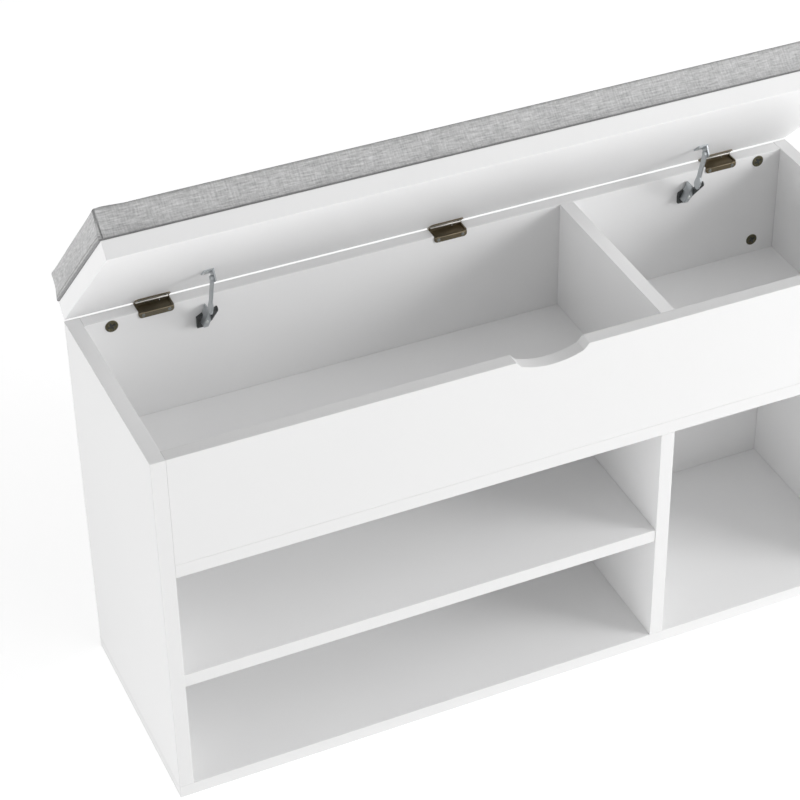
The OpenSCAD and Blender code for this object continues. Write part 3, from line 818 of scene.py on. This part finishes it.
# %% [markdown]
# ## The cushion's linen
#
# The cover is a plain weave of uneven grey yarns. Each yarn keeps its own tone over a few
# centimetres and swells into slubs, so the cloth shows short streaks along both thread
# directions. Noise that is stretched along one direction gives those streaks, and two sine waves
# give the weave itself. The pattern follows the piece's own map, in metres of cloth.
#
# The cover is sewn from strips. An upright seam stands just beside each corner and a hem runs
# along the foot of both ends. Each is a narrow groove, sunk by a bump and darkened with painted
# shade, drawn from the distance to the seam, which the mesh carries in the attribute called sewn.
# The cover's lowest few millimetres, where it meets the board, are darkened with painted shade
# too.

# %% Yarns
THREAD = 0.0009
linen, tree, shader, place = new_material("grey_linen", Roughness=0.92, Specular_IOR_Level=0.2,
                                          Sheen_Weight=0.25, Sheen_Roughness=0.5)
cloth = node(tree, "UVMap", {"uv_map": "cloth"}).outputs["UV"]


def streaks(along, across, shift):
    """Noise over the cloth map, stretched: along and across are features per metre."""
    moved = node(tree, "Mapping", None, Vector=cloth, Location=(shift, shift * 0.7, 0),
                 Scale=(along, across, 1)).outputs[0]
    return node(tree, "TexNoise", None, Vector=moved, Scale=1.0, Detail=4.0,
                Roughness=0.6).outputs["Fac"]


# Weft, warp, flecks and clouds, and the share that each has in the cloth's tone
weighted = [number(tree, "MULTIPLY", streaks(*pattern), share) for pattern, share in (
    ((70, 620, 3.1), 0.42), ((620, 70, 7.7), 0.26), ((420, 420, 1.3), 0.2),
    ((26, 34, 5.2), 0.12))]
tone = weighted[0]
for part in weighted[1:]:
    tone = number(tree, "ADD", tone, part)
yarn = ramp(tree, tone, 0.38, 0.62)
apart = node(tree, "SeparateXYZ", None, Vector=cloth).outputs
waves = [number(tree, "SINE", number(tree, "MULTIPLY", apart[i], 2 * math.pi / THREAD))
         for i in (0, 1)]
weave = number(tree, "MULTIPLY", *waves)
height = number(tree, "ADD", number(tree, "MULTIPLY", weave, 0.25), tone)
relief = node(tree, "Bump", None, Strength=0.8, Distance=0.0006, Height=height)
print("yarns:", len(tree.nodes), "nodes")

# %% Seams
sewn = node(tree, "SeparateXYZ", None, Vector=node(
    tree, "Attribute", {"attribute_name": "sewn"}).outputs["Vector"]).outputs


def groove(distance, half_width):
    """1 on a seam and 0 beyond half_width from it, with the distance in millimetres."""
    return ramp(tree, number(tree, "ABSOLUTE", distance), 0.0, half_width, 1.0, 0.0)


corner_seam = groove(sewn[0], 1.3)
hem = number(tree, "MULTIPLY", groove(sewn[2], 0.8), 0.7)
# Painted shade along the cover's foot, where it meets the board
foot = ramp(tree, sewn[1], 0.4, 2.2, 1.0, 0.0)
seam_and_foot_mask = number(tree, "MAXIMUM", number(tree, "MAXIMUM", corner_seam, hem), foot)
# Seams, hem and foot are darkened to 0.42 of the cloth's tone: painted shade
painted_shade_factor = ramp(tree, seam_and_foot_mask, 0.0, 1.0, 1.0, 0.42)
shade = node(tree, "CombineColor", None, Red=painted_shade_factor, Green=painted_shade_factor, Blue=painted_shade_factor).outputs[0]
greys = blend_colour(tree, yarn, (0.275, 0.277, 0.28, 1), (0.7, 0.7, 0.7, 1))
tree.links.new(blend_colour(tree, 1.0, greys, shade, "MULTIPLY"), shader.inputs["Base Color"])
sunk = node(tree, "Bump", None, Strength=1.0, Distance=0.0012,
            Height=number(tree, "SUBTRACT", 1.0, seam_and_foot_mask), Normal=relief.outputs["Normal"])
tree.links.new(sunk.outputs["Normal"], shader.inputs["Normal"])
print("linen:", len(tree.nodes), "nodes")

# %% [markdown]
# ## Stuffing the cushion
#
# The pad is foam in a tight cover, glued to the board. It could be modelled as a rounded block,
# but real covers pull flat over the foam and swell between the seams. Here the block is an even
# grid on six sides, pulled onto a box with round edges. Its underside is pinned, and the cloth
# simulation blows it up. The swelling is then capped, so the cushion keeps its size.

# %% Cushion block
PAD_THICK, PAD_EDGE, CELL = 0.032, 0.0036, 0.0047
PAD_LOW, PAD_HIGH = LID_THICK, LID_THICK + PAD_THICK
# How far the block goes past the lid's ends, and stays inside the pad's own box
PAST_ENDS, IN_FRONT, IN_FOOT, IN_TOP = 0.0022, 0.0006, 0.0004, 0.0016


def marks(low, high, soft_low):
    """Grid lines from low to high: even cells, with two more lines inside each rounded edge. The
    lower edge is rounded only where soft_low is true."""
    steps = max(2, round((high - low - 2 * PAD_EDGE) / CELL))
    inner = np.linspace(low + (PAD_EDGE if soft_low else 0), high - PAD_EDGE, steps + 1)
    near = PAD_EDGE * (1 - np.tan(np.radians([45.0, 27.0, 12.0])))
    return np.r_[low + near if soft_low else [], inner, (high - near)[::-1]]


def rounded(points, low, high):
    """Pulls a box onto the same box with round edges. c is the point held inside the inner box
    and d = p - c, so that p' = c + d * max|d_i| / |d|. Flat parts stay where they are."""
    core = np.clip(points, low + [PAD_EDGE, PAD_EDGE, 0], high - PAD_EDGE)
    away = points - core
    size = np.maximum(np.linalg.norm(away, axis=1, keepdims=True), 1e-12)
    return core + away * np.abs(away).max(axis=1, keepdims=True) / size


pad_low = np.array([-HALF_LONG - PAST_ENDS, -LID_DEEP + IN_FRONT, PAD_LOW + IN_FOOT])
pad_high = np.array([HALF_LONG + PAST_ENDS, -IN_FRONT, PAD_HIGH - IN_TOP])
grid = [marks(pad_low[k], pad_high[k], soft_low=k < 2) for k in range(3)]
points, faces, count = [], [], 0
for k in range(3):
    a, b = [m for m in range(3) if m != k]
    p, q = np.meshgrid(grid[a], grid[b], indexing="ij")
    i, j = np.meshgrid(np.arange(len(grid[a]) - 1), np.arange(len(grid[b]) - 1), indexing="ij")
    n = len(grid[b])
    for level, outward in ((pad_low[k], -1), (pad_high[k], 1)):
        side = np.empty((p.size, 3))
        side[:, a], side[:, b], side[:, k] = p.ravel(), q.ravel(), level
        quads = count + np.stack([i * n + j, (i + 1) * n + j, (i + 1) * n + j + 1, i * n + j + 1],
                                 -1).reshape(-1, 4)
        flip = (outward < 0) != (k == 1)
        faces += (quads[:, ::-1] if flip else quads).tolist()
        points.append(side)
        count += len(side)
points = rounded(np.concatenate(points), pad_low, pad_high)
cushion = add_piece("cushion_cover", points, faces, linen, "lid", "cushion_fabric", ["cushion"],
                    smooth=True)
cushion.parent = None
welder = bmesh.new()
welder.from_mesh(cushion.data)
bmesh.ops.remove_doubles(welder, verts=welder.verts, dist=1e-6)
welder.to_mesh(cushion.data)
welder.free()
print("cushion mesh:", len(cushion.data.vertices), "vertices")

# %% Swell the cover
MOST_SWELL, PRESSURE, FRAMES = 0.0026, 4.0, 20
# The glued part's height above the board, and the least height of any point
GLUED, LEAST = 0.003, 0.0002
start = values_of(cushion.data.vertices, "co", np.float32, 3).astype(float)
held = cushion.vertex_groups.new(name="glued")
held.add(np.flatnonzero(start[:, 2] < PAD_LOW + GLUED).tolist(), 1.0, "REPLACE")
places = start
blown = cushion.modifiers.new("cover", "CLOTH")
blown.settings.use_pressure = True
blown.settings.uniform_pressure_force = PRESSURE
blown.settings.vertex_group_mass = held.name
blown.settings.effector_weights.gravity = 0.0
blown.point_cache.frame_end = FRAMES
for frame_number in range(1, FRAMES + 1):
    scene.frame_set(frame_number)
swollen = cushion.evaluated_get(bpy.context.evaluated_depsgraph_get()).to_mesh()
moved = values_of(swollen.vertices, "co", np.float32, 3).astype(float) - start
cushion.modifiers.remove(blown)
scene.frame_set(1)
far = np.linalg.norm(moved, axis=1, keepdims=True)
print("largest swelling before the cap:", round(float(far.max()) * 1000, 1), "mm")
places = start + moved * np.minimum(1, MOST_SWELL / np.maximum(far, 1e-9))
places[:, 2] = np.maximum(places[:, 2], PAD_LOW + LEAST)

# %% Cloth map
# The cloth runs in X and Y over the top, in X and down over the long sides, and in Y and down
# over the ends
pad = cushion.data
pad.vertices.foreach_set("co", places.astype(np.float32).ravel())
pad.update()
owners = np.repeat(np.arange(len(pad.polygons)), values_of(pad.polygons, "loop_total", np.int32))
x, y, z = places[values_of(pad.loops, "vertex_index", np.int32)].T
nx, ny, nz = np.abs(values_of(pad.polygons, "normal", np.float32, 3)[owners]).T
on_side = (ny > nx) & (ny > nz)
on_end = (nx >= ny) & (nx > nz)
u = np.where(on_end, y, x)
v = np.where(on_end, z + 0.5,
             np.where(on_side, np.sign(y + LID_DEEP / 2) * (PAD_HIGH - z) + y, y))
pad.uv_layers.new(name="cloth").data.foreach_set(
    "uv", np.stack([u, v], 1).astype(np.float32).ravel())
print("cloth map:", round(float(np.ptp(u)), 3), "by", round(float(np.ptp(v)), 3), "m")

# %% Distances to the seams
# All in millimetres: to the upright seam SEAM_IN from each end of the long sides, above the foot
# of the pad, and to the hem, HEM_HIGH above the foot of both ends. NO_SEAM stands for none near
SEAM_IN, HEM_HIGH, NO_SEAM = 2.0, 4.2, 50.0
# How near a point is to a long side or an end of the lid, to count as lying on it
NEAR_SIDE, NEAR_END = 6.0, 4.0
to_end = (abs(places[:, 0]) - HALF_LONG) * 1000
from_side = np.minimum(abs(places[:, 1]), abs(places[:, 1] + LID_DEEP)) * 1000
above = (places[:, 2] - PAD_LOW) * 1000
to_seam = np.where(from_side < NEAR_SIDE, to_end + SEAM_IN, NO_SEAM)
to_hem = np.where(-to_end < NEAR_END, above - HEM_HIGH, NO_SEAM)
pad.attributes.new("sewn", "FLOAT_VECTOR", "POINT").data.foreach_set(
    "vector", np.stack([to_seam, above, to_hem], 1).astype(np.float32).ravel())
print("points on the long sides:", int((to_seam != NO_SEAM).sum()))

# %% Open place and finish
pad.vertices.foreach_set("co", swing_open(places).astype(np.float32).ravel())
pad.polygons.foreach_set("use_smooth", np.ones(len(pad.polygons), bool))
pad.update()
cushion.vertex_groups.clear()
smoother = cushion.modifiers.new("finer", "SUBSURF")
smoother.levels = smoother.render_levels = 1
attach(cushion, "lid")
print("cushion in place:", len(pad.polygons), "faces")

# %% [markdown]
# ## The floor under it
#
# The floor is a pale sheet that glows a little, as a lit sweep does, and reaches past every view.
# It is marked as stage, so that it isn't part of the bench.

# %% Floor
FLOOR_HALF, FLOOR_GLOW = 30, 0.52
floor_white, tree, shader, place = new_material("pale_floor", Roughness=0.9,
                                                Specular_IOR_Level=0.1)
shade = node(tree, "TexNoise", None, Vector=place, Scale=2.0, Detail=2.0).outputs["Fac"]
tree.links.new(blend_colour(tree, shade, (0.96, 0.96, 0.96, 1), (0.97, 0.97, 0.97, 1)),
               shader.inputs["Base Color"])
shader.inputs["Emission Color"].default_value = (1, 1, 1, 1)
shader.inputs["Emission Strength"].default_value = FLOOR_GLOW

floor_points = FLOOR_HALF * np.array([(-1, -1, 0), (1, -1, 0), (1, 1, 0), (-1, 1, 0)], float)
mesh = bpy.data.meshes.new("floor")
mesh.from_pydata(floor_points.tolist(), [], [[0, 1, 2, 3]])
mesh.materials.append(floor_white)
floor = bpy.data.objects.new("floor", mesh)
scene.collection.objects.link(floor)
floor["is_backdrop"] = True
print("floor:", 2 * FLOOR_HALF, "m wide")

# %% Sizes, then the end
low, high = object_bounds()
print("visual box:", [round(v, 4) for v in high - low])
